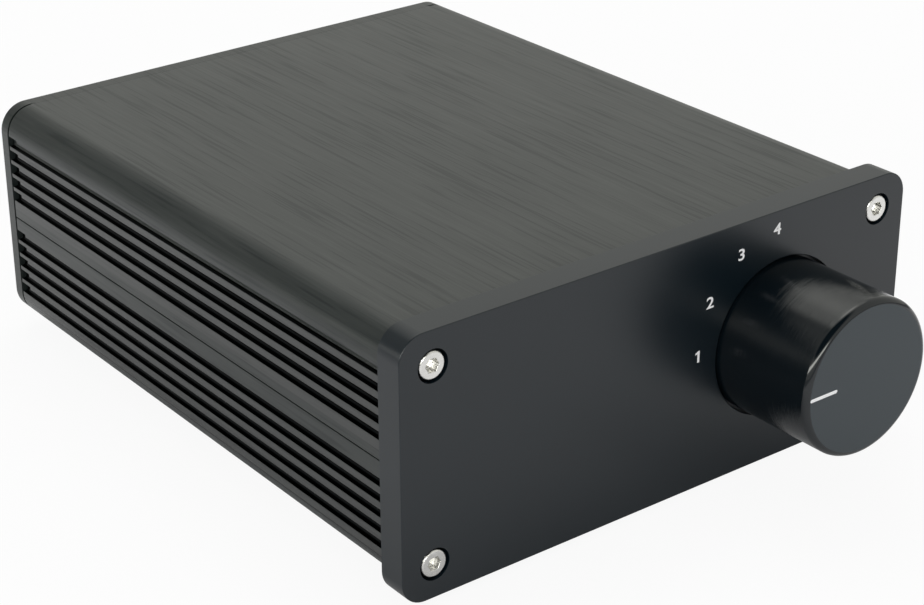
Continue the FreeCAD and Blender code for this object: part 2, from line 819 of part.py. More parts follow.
def switch_nut():
    y0 = recess_y - washer_thick - nut_height
    y1 = recess_y - washer_thick
    nut = hexagon(nut_width, knob_x, axis_z, y0, y1)
    return nut.cut(rod(bush_radius + bore_gap, knob_x, axis_z, y0, y1))


def jack_pin_places():
    places = []
    for x in jack_columns_x:
        for step in (-1, 0, 1):
            y = block_y + block_depth / 2 + step * jack_pin_spread / 2
            places.append((x + (step % 2) * block_width / 4, y))
    return places


def main_board():
    half = case_width / 2 - side_wall - board_side_gap
    y0 = plate_back_y + board_end_gap
    y1 = case_end_y - board_end_gap
    board = box(-half, half, y0, y1, board_bottom_z, board_top_z)
    holes = [post(pin_radius + pin_gap, x, y, board_bottom_z, board_top_z)
             for end_y in (wafer_1_end_y, wafer_2_end_y) for x, y in pin_places(end_y)]
    holes += [post(jack_pin_radius + pin_gap, x, y, board_bottom_z, board_top_z)
              for x, y in jack_pin_places()]
    return cut_all(board, holes)


def jack_pins():
    return [post(jack_pin_radius, x, y, board_bottom_z - pin_stand, board_top_z)
            for x, y in jack_pin_places()]


def jack_blocks():
    """Moulded housings, each with two jacks one above the other and a screw hole between them."""
    shapes = []
    centre_z = board_top_z + block_height / 2
    for x in jack_columns_x:
        block = rounded_plate(block_width, block_height, block_corner, block_y, case_end_y, x, centre_z)
        cutters = [rod(jack_screw_radius + bore_gap, x, axis_z, case_end_y - jack_screw_length, case_end_y)]
        shapes.append(cut_all(block, cutters))
    return shapes


def jack_barrels():
    """Plated sleeves, narrower where they pass through the rear plate."""
    shapes = []
    inner = barrel_radius - barrel_wall
    neck_end_y = rear_face_y + barrel_neck
    profile = [(inner, case_end_y), (barrel_root_radius, case_end_y), (barrel_root_radius, neck_end_y),
               (barrel_radius, neck_end_y), (barrel_radius, barrel_end_y - barrel_bevel),
               (barrel_radius - barrel_bevel, barrel_end_y), (inner, barrel_end_y)]
    for x in jack_columns_x:
        for z in jack_rows_z:
            shapes.append(revolve(profile, x, z))
    return shapes


def insulators(z):
    """Coloured plastic inside the barrels of one row, hollow for the contact sleeve."""
    outer = barrel_radius - barrel_wall - bore_gap
    hole = contact_bore + contact_wall + bore_gap
    profile = [(0, case_end_y), (outer, case_end_y), (outer, insulator_end_y), (hole, insulator_end_y),
               (hole, contact_y), (0, contact_y)]
    return [revolve(profile, x, z) for x in jack_columns_x]


def jack_contacts():
    outer = contact_bore + contact_wall
    return [tube(outer, contact_bore, x, z, contact_y, contact_end_y)
            for x in jack_columns_x for z in jack_rows_z]


def jack_screws():
    """Cross-headed screws that draw each block against the rear plate."""
    shapes = []
    tip_y = rear_face_y - jack_screw_length
    end_y = rear_face_y + jack_head_height
    profile = [(0, tip_y), (jack_screw_radius, tip_y), (jack_screw_radius, rear_face_y),
               (jack_head_radius, rear_face_y), (jack_head_radius, rear_face_y + jack_head_height / 2),
               (jack_head_radius - jack_head_slope, end_y), (0, end_y)]
    long = cross_length / 2
    short = cross_width / 2
    for x in jack_columns_x:
        screw = revolve(profile, x, axis_z)
        for half_x, half_z in ((long, short), (short, long)):
            cross = box(x - half_x, x + half_x, end_y - cross_depth, end_y, axis_z - half_z, axis_z + half_z)
            screw = screw.cut(cross)
        shapes.append(screw)
    return shapes


os.makedirs("parts", exist_ok=True)
case_shells()
save("front_panel", [front_panel()])
save("rear_panel", [rear_panel()])
save("front_screws", [socket_screw(x, axis_z + z, plate_front_y + head_sink, 1, screw_length)
                      for x, z in plate_screw_places])
save("rear_screws", [socket_screw(x, axis_z + z, rear_face_y + head_height, -1, screw_length)
                     for x, z in plate_screw_places])
save("rubber_feet", feet())
save("knob", [knob()])
save("knob_set_screw", [set_screw()])
save("switch_shaft", [switch_shaft()])
save("shaft_clip", [shaft_clip()])
save("switch_bushing", [switch_bushing()])
save("switch_washer", [switch_washer()])
save("switch_nut", [switch_nut()])
save("switch_plate", [switch_plate()])
save("index_ring", [index_ring()])
save("stop_plate", [stop_plate()])
save("index_rotor", [index_rotor()])
save("index_balls", index_balls())
save("index_springs", index_springs())
save("front_wafer", [wafer(wafer_1_y, wafer_1_end_y)])
save("rear_wafer", [wafer(wafer_2_y, wafer_2_end_y)])
save("wafer_contacts", wafer_contacts())
save("front_rotor", [rotor(wafer_1_y, wafer_1_end_y)])
save("rear_rotor", [rotor(wafer_2_y, wafer_2_end_y)])
save("wipers", wipers())
save("wafer_pins", wafer_pins())
save("switch_spacers", switch_spacers())
save("switch_back_plate", [switch_back_plate()])
save("tie_screws", tie_screws())
save("main_board", [main_board()])
save("jack_blocks", jack_blocks())
save("jack_barrels", jack_barrels())
save("white_insulators", insulators(jack_rows_z[1]))
save("red_insulators", insulators(jack_rows_z[0]))
save("jack_contacts", jack_contacts())
save("jack_pins", jack_pins())
save("jack_screws", jack_screws())
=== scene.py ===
import math

import bmesh
import bpy
from mathutils import Matrix, Vector


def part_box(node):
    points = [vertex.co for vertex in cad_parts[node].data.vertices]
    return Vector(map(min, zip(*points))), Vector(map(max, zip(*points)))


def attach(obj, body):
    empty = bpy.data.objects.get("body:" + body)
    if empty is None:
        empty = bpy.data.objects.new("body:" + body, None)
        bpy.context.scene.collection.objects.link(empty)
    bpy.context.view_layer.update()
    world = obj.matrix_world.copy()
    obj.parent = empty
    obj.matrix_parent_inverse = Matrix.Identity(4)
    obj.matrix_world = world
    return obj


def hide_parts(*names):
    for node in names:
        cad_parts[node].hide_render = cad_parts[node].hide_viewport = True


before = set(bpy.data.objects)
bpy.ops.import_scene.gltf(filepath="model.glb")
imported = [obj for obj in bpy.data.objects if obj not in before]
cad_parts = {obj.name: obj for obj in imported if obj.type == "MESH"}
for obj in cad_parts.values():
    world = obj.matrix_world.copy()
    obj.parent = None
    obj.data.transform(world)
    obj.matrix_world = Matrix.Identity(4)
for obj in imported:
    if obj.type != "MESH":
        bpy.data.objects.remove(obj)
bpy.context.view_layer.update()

# Four-way audio source selector. Metres. The front faces -Y, +X is to the right seen from the front, Z is up.


# Case: one aluminium extrusion used twice, the lower half turned over. It is brushed along its length, then
# anodised dark grey. The brush reaches the ribs but not the grooves between them, which are smoother, and
# handling has left long fine streaks and softer patches. Painted shade darkens the grooves, and a painted
# sheen lightens the rib faces.
MM = 0.001


class Field:
    """A number or a colour that varies over a surface. Sums and products of fields add Math nodes."""

    def __init__(self, finish, socket):
        self.finish = finish
        self.socket = socket

    def __add__(self, other):
        return self.finish.math("ADD", self, other)

    def __sub__(self, other):
        return self.finish.math("SUBTRACT", self, other)

    def __rsub__(self, other):
        return self.finish.math("SUBTRACT", other, self)

    def __mul__(self, other):
        return self.finish.math("MULTIPLY", self, other)

    def __gt__(self, other):
        return self.finish.math("GREATER_THAN", self, other)

    __radd__ = __add__
    __rmul__ = __mul__


class Finish:
    """A surface finish drawn with nodes. The named sockets of its shader get their fixed values here."""

    def __init__(self, name, **fixed):
        self.material = bpy.data.materials.new(name)
        self.material.use_nodes = True
        self.tree = self.material.node_tree
        self.shader = self.tree.nodes["Principled BSDF"]
        for socket, value in fixed.items():
            self.shader.inputs[socket.replace("_", " ")].default_value = value

    def node(self, kind, settings=None, sockets=None, out=0):
        """Adds any other node: its settings first, then the values or links of its sockets."""
        new = self.tree.nodes.new("ShaderNode" + kind)
        for key, value in (settings or {}).items():
            if key == "stops":
                stops = new.color_ramp.elements
                while len(stops) < len(value):
                    stops.new(1.0)
                for stop, (position, shade) in zip(stops, value):
                    stop.position = position
                    stop.color = (shade, shade, shade, 1.0)
            else:
                setattr(new, key, value)
        for key, value in (sockets or {}).items():
            if isinstance(value, Field):
                self.tree.links.new(value.socket, new.inputs[key])
            else:
                new.inputs[key].default_value = value
        return Field(self, new.outputs[out])

    def math(self, operation, first, second=0.0):
        return self.node("Math", {"operation": operation}, {0: first, 1: second})

    def noise(self, scale, stretch=(1.0, 1.0, 1.0), detail=2, centre=(0.0, 0.0, 0.0)):
        """Noise on the object's own coordinates; scale is in features per metre."""
        place = self.node("TexCoord", out="Object")
        place = self.node("Mapping", None, {"Vector": place, "Location": centre, "Scale": stretch})
        return self.node("TexNoise", None, {"Vector": place, "Scale": scale, "Detail": detail,
                                            "Roughness": 0.55})

    def ramp(self, field, *stops):
        """Follows the field through stops of (position, value)."""
        return self.node("ValToRGB", {"stops": stops}, {"Fac": field})

    def blend(self, field, low, high):
        """From one colour to another as the field goes from 0 to 1. Sockets 6 and 7 are the two colours."""
        return self.node("Mix", {"data_type": "RGBA"}, {0: field, 6: low, 7: high}, out=2)

    def feed(self, socket, field):
        self.tree.links.new(field.socket, self.shader.inputs[socket])

    def relief(self, height, depth, strength=1.0):
        """A bump of the given depth in metres."""
        self.feed("Normal", self.node("Bump", None, {"Height": height, "Distance": depth,
                                                     "Strength": strength}))


def grey(shade):
    return (shade, shade, shade, 1.0)


def brushed(name, low, high, rough, grooves=None):
    """Anodised aluminium, brushed along Y, with longer dark or bright streaks here and there. Its grooves are
    given as the side's distance from the middle, the seam's height and half the height of their band. The
    grooves then get painted shade, and the rib faces between them a painted sheen."""
    finish = Finish(name, IOR=1.5)
    fine = finish.noise(3400, (1, 0.016, 1), detail=4)
    drawn = finish.noise(2000, (1, 0.024, 1), centre=(3.1, 0.4, 7.7))
    where = finish.noise(90, (1, 0.5, 1), centre=(6.3, 2.4, 1.7))
    patches = finish.noise(60, (1, 0.3, 1), centre=(1.3, 5.2, 0.4))
    drawn = drawn + (where - 0.5) * 0.3
    scars = finish.ramp(drawn, (0.55, 0.0), (0.64, 1.0))
    worn = finish.ramp(drawn, (0.36, 1.0), (0.45, 0.0))
    tone = patches * 0.4 + fine * 0.45 - scars * 0.5 + worn * 0.35 + 0.2
    colour = finish.blend(tone, low, high)
    if grooves:
        face, seam, band = grooves
        groove_edge_depth = 0.08 * MM
        seam_land = 3 * MM
        place = finish.node("TexCoord", out="Object")
        depth = face - finish.math("ABSOLUTE", finish.node("SeparateXYZ", None, {0: place}, out="X"))
        rise = finish.math("ABSOLUTE", finish.node("SeparateXYZ", None, {0: place}, out="Z") - seam)
        in_band = band - rise > 0.0
        inside = (depth > groove_edge_depth) * in_band
        rib_sheen_mask = (groove_edge_depth - depth > 0.0) * (rise > seam_land) * in_band
        # painted sheen: the rib faces, away from the flat land at the seam, are lightened towards grey
        colour = finish.blend(rib_sheen_mask * 0.4, colour, grey(0.06))
        # painted shade: the grooves get a near-black colour as metal, so they reflect little; they are also
        # smoother than the brushed rib faces
        colour = finish.blend(inside, colour, (0.011, 0.013, 0.014, 1))
        finish.feed("Metallic", inside)
        rough = rough - inside * 0.22
    finish.feed("Base Color", colour)
    finish.feed("Roughness", rough + (fine - 0.5) * 0.16 + scars * 0.04 + (patches - 0.5) * 0.1)
    finish.relief(fine * 0.3 - scars * 0.45, 0.01 * MM, 0.8)
    return finish


def merged(node):
    """A CAD node's mesh with its triangles joined into whole faces."""
    mesh = bmesh.new()
    mesh.from_mesh(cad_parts[node].data)
    bmesh.ops.remove_doubles(mesh, verts=mesh.verts, dist=1e-6)
    bmesh.ops.dissolve_limit(mesh, angle_limit=math.radians(0.5), verts=mesh.verts, edges=mesh.edges)
    return mesh


def break_edges(mesh, width, angle=35):
    """Rounds every edge that turns by more than the angle."""
    sharp = [e for e in mesh.edges if e.is_manifold and e.calc_face_angle(0) > math.radians(angle)]
    bmesh.ops.bevel(mesh, geom=sharp, offset=width, offset_type="OFFSET", segments=2, profile=0.5,
                    affect="EDGES", material=-1, clamp_overlap=False)


def piece(name, mesh, finish, body, slot, *nodes, crease=30):
    """Makes an object of the mesh, which rides on a body and stands for the CAD nodes. Flat faces stay flat
    beside their rounded edges."""
    data = bpy.data.meshes.new(name)
    mesh.to_mesh(data)
    mesh.free()
    data.shade_smooth()
    data.set_sharp_from_angle(angle=math.radians(crease))
    data.materials.append(finish.material)
    made = bpy.data.objects.new(name, data)
    bpy.context.scene.collection.objects.link(made)
    weigh = made.modifiers.new("face weights", "WEIGHTED_NORMAL")
    weigh.keep_sharp = True
    weigh.weight = 100
    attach(made, body)
    if nodes:
        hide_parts(*nodes)
    return made


edge_break = 0.04 * MM
groove_band = 14.9 * MM
top_low, top_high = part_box("top_shell")
case_finish = brushed("anodised case", (0.0005, 0.004, 0.0045, 1), (0.0225, 0.027, 0.0255, 1), 0.36,
                      grooves=(top_high.x, top_low.z, groove_band))
for half in ("top_shell", "bottom_shell"):
    shell = merged(half)
    break_edges(shell, edge_break)
    piece("case_" + half, shell, case_finish, "case", "anodised_case", half)


# Front plate: 5 mm aluminium, bead blasted and anodised, with a fine bevel round its face, four counterbored
# holes and a round recess that the knob's base sinks into.
plate_finish = Finish("anodised plate", IOR=1.5)
blast = plate_finish.noise(9000)
haze = plate_finish.noise(45, centre=(0.3, 2.2, 4.1))
plate_finish.feed("Base Color", plate_finish.blend(blast * 0.5 + haze * 0.5, (0.002, 0.005, 0.008, 1),
                                                   (0.004, 0.009, 0.013, 1)))
plate_finish.feed("Roughness", 0.31 + (blast - 0.5) * 0.08 + (haze - 0.5) * 0.05)
plate_finish.relief(blast, 0.004 * MM, 0.2)
plate = merged("front_panel")
break_edges(plate, edge_break)
piece("front_plate", plate, plate_finish, "case", "anodised_plate", "front_panel")


# Numbers: printed in a thin coat of white ink on the plate's face, 1 to 4 from the left over the knob, in a
# quarter circle of its four positions.
ink = Finish("white ink", IOR=1.45)
grain = ink.noise(6000)
ink.feed("Base Color", ink.blend(grain, grey(0.84), grey(0.92)))
ink.feed("Roughness", 0.45 + grain * 0.15)
ink.relief(grain, 0.004 * MM, 0.3)
plate_low, plate_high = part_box("front_panel")
plate_centre = Vector((0, plate_low.y, (plate_low.z + plate_high.z) / 2))
number_height = 1.93 * MM
number_stretch = 1.2
stroke_gain = 0.045 * MM
ink_thick = 0.02 * MM
font_height = 0.73
for digit, across, up in (("1", 6.08, 1.57), ("2", 8.25, 10.04), ("3", 14.32, 16.23), ("4", 21.65, 18.45)):
    if digit == "1":
        mesh = bmesh.new()
        # the stem with its flag, as one outline in units of the number's height
        outline = [(0.12, -0.5), (0.12, 0.5), (-0.01, 0.5), (-0.26, 0.36), (-0.26, 0.19), (-0.07, 0.28),
                   (-0.07, -0.5)]
        face = mesh.faces.new([mesh.verts.new((x, y, 0)) for x, y in reversed(outline)])
        bmesh.ops.triangulate(mesh, faces=[face])
        bmesh.ops.solidify(mesh, geom=mesh.faces[:], thickness=ink_thick / number_height)
        bmesh.ops.scale(mesh, vec=Vector((1, 1, 1)) * number_height, verts=mesh.verts)
    else:
        words = bpy.data.curves.new("number", "FONT")
        words.body = digit
        words.extrude = ink_thick / 2
        words.offset = stroke_gain
        words.size = number_height / font_height
        holder = bpy.data.objects.new("number", words)
        bpy.context.scene.collection.objects.link(holder)
        bpy.context.view_layer.update()
        graph = bpy.context.evaluated_depsgraph_get()
        printed = bpy.data.meshes.new_from_object(holder.evaluated_get(graph))
        bpy.data.objects.remove(holder)
        mesh = bmesh.new()
        mesh.from_mesh(printed)
        bmesh.ops.remove_doubles(mesh, verts=mesh.verts, dist=1e-7)
    low = Vector([min(v.co[n] for v in mesh.verts) for n in range(3)])
    high = Vector([max(v.co[n] for v in mesh.verts) for n in range(3)])
    bmesh.ops.translate(mesh, vec=-(low + high) / 2, verts=mesh.verts)
    bmesh.ops.rotate(mesh, matrix=Matrix.Rotation(math.radians(90), 3, "X"), verts=mesh.verts)
    bmesh.ops.scale(mesh, vec=(number_stretch, 1, 1), verts=mesh.verts)
    spot = plate_centre + Vector((across * MM, -ink_thick / 4, up * MM))
    bmesh.ops.translate(mesh, vec=spot, verts=mesh.verts)
    bmesh.ops.recalc_face_normals(mesh, faces=mesh.faces)
    piece("number_" + digit, mesh, ink, "case", "white_plastic")


# Plate screws: plain stainless socket heads, four at each end, turned into the extrusion's bosses. At the
# front they stand in counterbores, just below the plate's face.
steel = Finish("stainless", Metallic=1.0)
turned = steel.noise(900, detail=3)
steel.feed("Base Color", steel.blend(turned, (0.66, 0.655, 0.635, 1), (0.82, 0.815, 0.79, 1)))
steel.feed("Roughness", 0.2 + turned * 0.14)
steel.relief(turned, 0.003 * MM, 0.3)
for node, name in (("front_screws", "front_plate_screws"), ("rear_screws", "rear_plate_screws")):
    screws = merged(node)
    break_edges(screws, 0.12 * MM)
    piece(name, screws, steel, "case", "stainless", node)


# Rear plate: flush with the case and brushed as it is, with its own fine bevel. It closes the case's end and
# carries the jacks.
rear = merged("rear_panel")
break_edges(rear, edge_break)
rear_finish = brushed("anodised rear plate", (0.004, 0.008, 0.0085, 1), (0.0185, 0.022, 0.0205, 1), 0.38)
piece("rear_plate", rear, rear_finish, "case", "anodised_case", "rear_panel")


# Knob: turned from bar, polished round its side and satin on its face, anodised black. A set screw in its
# side holds it to the shaft, and a short mark is engraved in its face and filled with white.
def spun(profile, x, z):
    """Turns (radius, y) points about the line along Y through (x, z)."""
    mesh = bmesh.new()
    rim = [mesh.verts.new((x + r, y, z)) for r, y in profile]
    edges = [mesh.edges.new(pair) for pair in zip(rim[:-1], rim[1:])]
    bmesh.ops.spin(mesh, geom=rim + edges, cent=(x, 0, z), axis=(0, 1, 0), steps=192, angle=2 * math.pi,
                   use_merge=True, use_duplicate=False)
    bmesh.ops.remove_doubles(mesh, verts=mesh.verts, dist=1e-7)
    bmesh.ops.recalc_face_normals(mesh, faces=mesh.faces)
    return mesh


def round_ring(mesh, x, z, radius, y, width, segments=4):
    """Rounds one turned edge of a spun mesh."""
    def on_ring(v):
        return abs(v.co.y - y) < 1e-6 and abs(math.hypot(v.co.x - x, v.co.z - z) - radius) < 1e-6
    ring = [e for e in mesh.edges if all(on_ring(v) for v in e.verts)]
    bmesh.ops.bevel(mesh, geom=ring, offset=width, offset_type="OFFSET", segments=segments, profile=0.5,
                    affect="EDGES", material=-1, clamp_overlap=False)


def cut(mesh, cutter):
    """Takes one closed mesh out of another."""
    holders = []
    for shape in (mesh, cutter):
        data = bpy.data.meshes.new("cut")
        shape.to_mesh(data)
        shape.free()
        holders.append(bpy.data.objects.new("cut", data))
        bpy.context.scene.collection.objects.link(holders[-1])
    taken = holders[0].modifiers.new("cut", "BOOLEAN")
    taken.object = holders[1]
    taken.operation = "DIFFERENCE"
    taken.solver = "EXACT"
    graph = bpy.context.evaluated_depsgraph_get()
    result = bmesh.new()
    result.from_mesh(bpy.data.meshes.new_from_object(holders[0].evaluated_get(graph)))
    for holder in holders:
        bpy.data.objects.remove(holder)
    return result


def mark_bar(front, back):
    """A bar with the mark's outline between two depths, its ends as round as an end mill leaves them."""
    mesh = bmesh.new()
    bmesh.ops.create_cube(mesh, size=1)
    bmesh.ops.scale(mesh, vec=(mark_outer - mark_inner, back - front, mark_width), verts=mesh.verts)
    middle = (knob_x - (mark_inner + mark_outer) / 2, (front + back) / 2, axis_z)
    bmesh.ops.translate(mesh, vec=middle, verts=mesh.verts)
    corners = [e for e in mesh.edges if abs((e.verts[0].co - e.verts[1].co).normalized().y) > 0.9]
    bmesh.ops.bevel(mesh, geom=corners, offset=0.48 * mark_width, offset_type="OFFSET", segments=6,
                    profile=0.5, affect="EDGES", material=-1, clamp_overlap=False)
    return mesh


knob_low, knob_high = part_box("knob")
knob_x = (knob_low.x + knob_high.x) / 2
axis_z = (knob_low.z + knob_high.z) / 2
knob_radius = (knob_high.z - knob_low.z) / 2
knob_front = knob_low.y
knob_base = knob_high.y
edge_round = 1.1 * MM
base_bevel = 0.4 * MM
cavity_radius = 8.4 * MM
cavity_end = knob_front + 15.5 * MM
bore_radius = 3.02 * MM
bore_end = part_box("switch_shaft")[0].y - 0.02 * MM
mark_inner = 6.3 * MM
mark_outer = 11.9 * MM
mark_width = 0.6 * MM
mark_depth = 0.3 * MM
fill_below = 0.04 * MM
grub_radius = 1.52 * MM
grub_y = knob_front + 10.5 * MM
drill_length = 12 * MM
drill_middle = knob_x + 8 * MM

knob_finish = Finish("anodised knob", IOR=1.5)
place = knob_finish.node("TexCoord", out="Object")
from_face = knob_finish.node("SeparateXYZ", None, {0: place}, out="Y") - knob_front
side = knob_finish.ramp(from_face * 1000, (0.01, 0.0), (0.03, 1.0))
barrel = knob_finish.ramp(from_face * 500, (0.5, 0.0), (0.8, 1.0))
satin = knob_finish.noise(7000)
turning = knob_finish.noise(9000, (0.01, 1, 0.01))
soil = knob_finish.noise(110, detail=3, centre=(0.4, 1.7, 2.9))
face_tone = knob_finish.blend(satin, (0.014, 0.023, 0.029, 1), (0.021, 0.031, 0.038, 1))
side_tone = knob_finish.blend(turning, (0.002, 0.004, 0.006, 1), (0.004, 0.007, 0.009, 1))
knob_finish.feed("Base Color", knob_finish.blend(side, face_tone, side_tone))
knob_finish.feed("Roughness", (1 - side) * (0.36 + satin * 0.1) + side * (0.07 + barrel * 0.03 + soil * 0.04))
knob_finish.relief(satin * (1 - side) * 0.1 + turning * (side * 0.2 + barrel * 0.8), 0.02 * MM, 1.0)

knob = spun([(0, knob_front), (knob_radius, knob_front), (knob_radius, knob_base - base_bevel),
             (knob_radius - base_bevel, knob_base), (cavity_radius, knob_base), (cavity_radius, cavity_end),
             (bore_radius, cavity_end), (bore_radius, bore_end), (0, bore_end)], knob_x, axis_z)
round_ring(knob, knob_x, axis_z, knob_radius, knob_front, edge_round, 16)
round_ring(knob, knob_x, axis_z, knob_radius, knob_base - base_bevel, 0.12 * MM)
tools = mark_bar(knob_front - mark_depth, knob_front + mark_depth)
drill = bmesh.ops.create_cone(tools, cap_ends=True, segments=48, radius1=grub_radius, radius2=grub_radius,
                              depth=drill_length)
bmesh.ops.rotate(tools, matrix=Matrix.Rotation(math.radians(90), 3, "Y"), verts=drill["verts"])
bmesh.ops.translate(tools, vec=(drill_middle, grub_y, axis_z), verts=drill["verts"])
knob = cut(knob, tools)
piece("selector_knob", knob, knob_finish, "knob", "knob_metal", "knob", crease=24)
piece("knob_mark", mark_bar(knob_front + fill_below, knob_front + mark_depth), ink, "knob", "white_plastic")

black_steel = Finish("black oxide steel", Metallic=1.0)
oxide = black_steel.noise(2500, detail=3)
black_steel.feed("Base Color", black_steel.blend(oxide, grey(0.03), grey(0.07)))
black_steel.feed("Roughness", 0.35 + oxide * 0.2)
black_steel.relief(oxide, 0.004 * MM, 0.3)
grub = merged("knob_set_screw")
break_edges(grub, 0.05 * MM)
piece("knob_grub_screw", grub, black_steel, "knob", "black_screw", "knob_set_screw")


# Switch: a stack on two long screws, hung on the front plate by its bush and nut. The shaft, bush, nut and
# spacers are nickel plated brass, the plates, the ring and the small fasteners zinc plated steel, and the
# contacts have a flash of gold.
def dress(finish, *nodes):
    """Gives CAD nodes whose shape is right a finish of their own."""
    for node in nodes:
        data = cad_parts[node].data
        data.materials.clear()
        data.materials.append(finish.material)


def plated(name, low, high, rough, scale=1400):
    """Bare or plated metal with fine tool marks and soft cloudy tarnish."""
    finish = Finish(name, Metallic=1.0)
    marks = finish.noise(scale, detail=4)
    cloud = finish.noise(220, centre=(2.2, 0.6, 5.1))
    finish.feed("Base Color", finish.blend(marks * 0.5 + cloud * 0.5, low, high))
    finish.feed("Roughness", rough + marks * 0.1 + cloud * 0.08)
    finish.relief(marks, 0.003 * MM, 0.3)
    return finish


nickel_brass = plated("nickel plated brass", (0.6, 0.55, 0.42, 1), (0.74, 0.69, 0.56, 1), 0.22)
zinc = plated("zinc plated steel", (0.5, 0.51, 0.53, 1), (0.66, 0.67, 0.7, 1), 0.32, scale=900)
gold = plated("gold flash", (0.72, 0.52, 0.22, 1), (0.86, 0.66, 0.32, 1), 0.2)
dress(nickel_brass, "switch_shaft", "switch_bushing", "switch_nut", "switch_spacers")
dress(zinc, "shaft_clip", "switch_washer", "switch_plate", "index_ring", "stop_plate", "index_balls",
      "index_springs", "switch_back_plate", "tie_screws")
dress(gold, "wafer_contacts", "wipers", "wafer_pins", "jack_contacts", "jack_pins")


# Rotors: moulded in natural nylon and pushed onto the shaft's flats. The first carries the sprung balls, the
# other two the wipers.
def moulded(name, low, high, rough, depth=0.01):
    """Moulded plastic with a fine even skin, of a depth in millimetres."""
    finish = Finish(name, IOR=1.48)
    skin = finish.noise(3500)
    flow = finish.noise(180, centre=(0.9, 3.3, 1.2))
    finish.feed("Base Color", finish.blend(skin * 0.3 + flow * 0.7, low, high))
    finish.feed("Roughness", rough + skin * 0.1 + flow * 0.06)
    finish.relief(skin, depth * MM, 0.3)
    return finish


nylon = moulded("natural nylon", (0.72, 0.69, 0.6, 1), (0.8, 0.78, 0.7, 1), 0.38)
dress(nylon, "index_rotor", "front_rotor", "rear_rotor")


# Wafers and main board: glass laminate under green solder mask. The switch's pins stand in the board, which
# slides into the case's card slots.
laminate = moulded("green laminate", (0.012, 0.09, 0.035, 1), (0.022, 0.14, 0.055, 1), 0.3)
dress(laminate, "front_wafer", "rear_wafer", "main_board")


# Phono jacks: black moulded blocks, screwed to the rear plate, with nickel plated barrels and coloured
# plastic round the centre contact, white for the left channel and red for the right.
black_plastic = moulded("black plastic", grey(0.008), grey(0.016), 0.42)
white_plastic = moulded("white plastic", grey(0.68), grey(0.76), 0.25, 0.004)
red_plastic = moulded("red plastic", (0.4, 0.012, 0.012, 1), (0.52, 0.02, 0.018, 1), 0.25, 0.004)
nickel = plated("bright nickel", (0.66, 0.64, 0.59, 1), (0.78, 0.76, 0.72, 1), 0.28)
dress(black_plastic, "jack_blocks")
for node, name, finish, slot_name, width in (
        ("jack_barrels", "phono_barrels", nickel, "jack_metal", 0.08),
        ("white_insulators", "phono_insulators_white", white_plastic, "white_plastic", 0.1),
        ("red_insulators", "phono_insulators_red", red_plastic, "red_plastic", 0.1),
        ("jack_screws", "phono_screws", black_steel, "black_screw", 0.08)):
    shape = merged(node)
    break_edges(shape, width * MM, angle=40)
    piece(name, shape, finish, "case", slot_name, node)


# Feet: four low round pads of black rubber, moulded, and stuck under the case near its corners so that it
# stands firm while the knob is turned.
rubber = Finish("black rubber", IOR=1.45)
speck = rubber.noise(2600, detail=3)
rubber.feed("Base Color", rubber.blend(speck, grey(0.010), grey(0.022)))
rubber.feed("Roughness", 0.7 + speck * 0.2)
rubber.relief(speck, 0.02 * MM, 0.4)
feet = merged("rubber_feet")
piece("foot_pads", feet, rubber, "case", "foot_rubber", "rubber_feet")


# Room: a pale floor in a white tent. A soft lamp hangs above the rear right, a long low one stands at the
# front left, and the tent is open, and dark, where the camera looks in.
class Room(Finish):
    """The same nodes on a material or a world, told apart by the kind of ray."""

    def __init__(self, tree):
        self.tree = tree

    def rays(self, *kinds):
        """1 for rays of these kinds."""
        path = self.node("LightPath").socket.node
        found = [Field(self, path.outputs["Is " + kind + " Ray"]) for kind in kinds]
        while len(found) > 1:
            found = [self.math("MAXIMUM", found[0], found[1])] + found[2:]
        return found[0]

    def towards(self, azimuth, elevation):
        """The cosine of the angle between a ray and a direction."""
        return self.node("VectorMath", {"operation": "DOT_PRODUCT"},
                         {0: self.node("TexCoord"), 1: direction(azimuth, elevation)}, out="Value")

    def patch(self, azimuth, elevation, inner, outer):
        """1 within the inner angle of a direction, fading to 0 at the outer angle."""
        near, far = math.cos(math.radians(inner)), math.cos(math.radians(outer))
        aside = (self.towards(azimuth, elevation) - far) * (1 / (near - far))
        return self.ramp(aside, (0.0, 0.0), (1.0, 1.0))


def direction(azimuth, elevation):
    """A vector of length 1: the azimuth from +Y towards +X, then the elevation, in degrees."""
    round_z, up = math.radians(azimuth), math.radians(elevation)
    return Vector((math.sin(round_z) * math.cos(up), math.cos(round_z) * math.cos(up), math.sin(up)))


world = bpy.data.worlds.new("room")
bpy.context.scene.world = world
world.use_nodes = True
sky = Room(world.node_tree)
ambient = 0.55
wall = 0.77
opening = sky.patch(-130, 48, 38, 52) * sky.ramp(sky.towards(0, 90), (0.42, 0.0), (0.52, 1.0))
# three darker panels at the rear left, mirrored in the case's rounded corner, and a gap in the knob's gloss
panels = 1 - sky.patch(-40, 26, 22, 36) * 0.45
panels = panels * (1 - sky.patch(3, 33, 10, 21) * 0.5) * (1 - sky.patch(-48, 8, 10, 26) * 0.4)
gap = 1 - sky.patch(-24, 48, 2, 5) * 0.7
high_lamp = sky.patch(30, 68, 27, 29.5) * 0.55 + sky.patch(30, 68, 8, 18) * 1.9
small_lamp = sky.patch(-12, 52, 2, 6) * 0.6
off_strip = sky.math("ABSOLUTE", sky.towards(50, 70.5))
long_lamp = sky.ramp(off_strip, (0.045, 1.0), (0.09, 0.0)) * sky.patch(-113, 10, 55, 68) * 8.0
lit = wall * (1 - opening) * panels * gap + high_lamp + small_lamp + long_lamp
glossy = sky.rays("Glossy")
seen = sky.rays("Camera", "Transmission")
backdrop = world.node_tree.nodes["Background"]
strength = ambient + seen * (1 - ambient) + glossy * (lit - ambient)
world.node_tree.links.new(strength.socket, backdrop.inputs["Strength"])
tint = sky.blend(glossy, (1, 1, 1, 1), (1.0, 1.0, 0.94, 1))
world.node_tree.links.new(tint.socket, backdrop.inputs["Color"])

